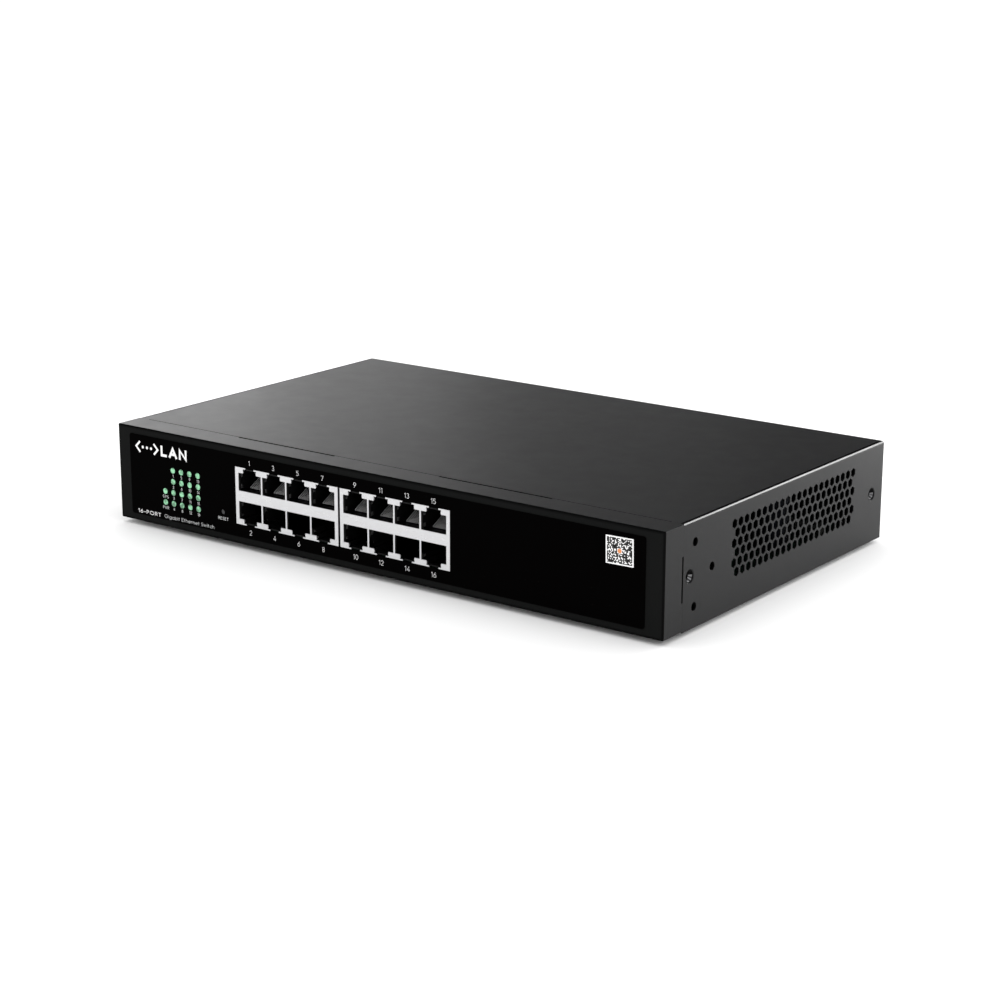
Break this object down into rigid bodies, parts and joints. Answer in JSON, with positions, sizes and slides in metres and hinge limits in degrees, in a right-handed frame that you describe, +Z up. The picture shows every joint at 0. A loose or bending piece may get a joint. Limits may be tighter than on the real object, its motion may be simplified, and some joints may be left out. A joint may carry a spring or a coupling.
{
  "type": "desktop network switch",
  "caption": "Low black steel desktop network switch with two stacked blocks of network ports, an indicator grid, a recessed reset button and a mains inlet at the rear.",
  "frame": {"origin": "centre of the bounding box's footprint, on the plane under the rubber feet", "axes": "+X to the right of the front panel as its user sees it, +Y from the front panel to the rear, +Z up"},
  "size_m": [0.294, 0.1826, 0.0465],
  "materials": {
    "case_paint": "fine-textured semi-matt black powder coat on folded steel",
    "front_film": "glossy black screen-printed polyester film",
    "label": "white paper sticker",
    "cover_screw": "black zinc countersunk screw, glossy",
    "foot_rubber": "matt",
    "zinc_screw": "bright zinc",
    "jack_shield": "bright nickel-plated stamped sheet",
    "jack_plastic": "black glass-filled nylon",
    "contact_metal": "pale flashed spring wire",
    "green_board": "dark green solder mask, satin",
    "light_pipe": "pale green translucent acrylic",
    "button_plastic": "dark grey",
    "chip_body": "black moulded epoxy",
    "black_aluminium": "black anodised extrusion",
    "supply_board": "dark green solder mask",
    "insulator_sheet": "black insulating sheet",
    "transformer": "ferrite core with black tape",
    "capacitor_sleeve": "dark blue shrink sleeve",
    "coil": "dark enamelled wire on a black ring",
    "film_capacitor_case": "dark grey moulded case",
    "fuse_sleeve": "dark shrink sleeve over the fuse",
    "pin_metal": "nickel-plated brass",
    "harness": "dark red insulated wires side by side"
  },
  "bodies": {
    "case": {"ac_inlet_body": "jack_plastic", "ac_pin_earth": "pin_metal", "ac_pin_line": "pin_metal", "ac_pin_neutral": "pin_metal", "bulk_capacitor": "capacitor_sleeve", "chassis_tray": "case_paint", "chip_heatsink": "black_aluminium", "code_label": "label", "contact_insert_01_02": "contact_metal", "contact_insert_03_04": "contact_metal", "contact_insert_05_06": "contact_metal", "contact_insert_07_08": "contact_metal", "contact_insert_09_10": "contact_metal", "contact_insert_11_12": "contact_metal", "contact_insert_13_14": "contact_metal", "contact_insert_15_16": "contact_metal", "cover_screw_left_front": "cover_screw", "cover_screw_left_rear": "cover_screw", "cover_screw_right_front": "cover_screw", "cover_screw_right_rear": "cover_screw", "dc_harness": "harness", "foot_front_left": "foot_rubber", "foot_front_right": "foot_rubber", "foot_rear_left": "foot_rubber", "foot_rear_right": "foot_rubber", "front_overlay": "front_film", "ground_screw": "zinc_screw", "jack_housing_left": "jack_plastic", "jack_housing_right": "jack_plastic", "jack_shield_left": "jack_shield", "jack_shield_right": "jack_shield", "lan_transformer_1": "chip_body", "lan_transformer_2": "chip_body", "lan_transformer_3": "chip_body", "lan_transformer_4": "chip_body", "light_pipe_holder": "jack_plastic", "light_pipe_ports_01_04": "light_pipe", "light_pipe_ports_05_08": "light_pipe", "light_pipe_ports_09_12": "light_pipe", "light_pipe_ports_13_16": "light_pipe", "light_pipe_status": "light_pipe", "line_filter_choke": "coil", "line_fuse": "fuse_sleeve", "main_pcb": "green_board", "output_capacitor": "capacitor_sleeve", "pcb_screw_1": "zinc_screw", "pcb_screw_2": "zinc_screw", "pcb_screw_3": "zinc_screw", "pcb_screw_4": "zinc_screw", "psu_board": "supply_board", "psu_heatsink": "black_aluminium", "psu_insulator_sheet": "insulator_sheet", "psu_screw_1": "zinc_screw", "psu_screw_2": "zinc_screw", "psu_transformer": "transformer", "reset_switch_body": "jack_plastic", "switch_chip": "chip_body", "top_cover": "case_paint", "x_capacitor": "film_capacitor_case"},
    "reset_button": {"reset_button": "button_plastic"}
  },
  "joints": [
    {"name": "reset_press", "type": "slide", "parent": "case", "child": "reset_button", "axis": [0, 1, 0], "range_m": [0, 0.0004], "stiffness_N_per_m": 1000, "springref_m": -0.0002}
  ]
}
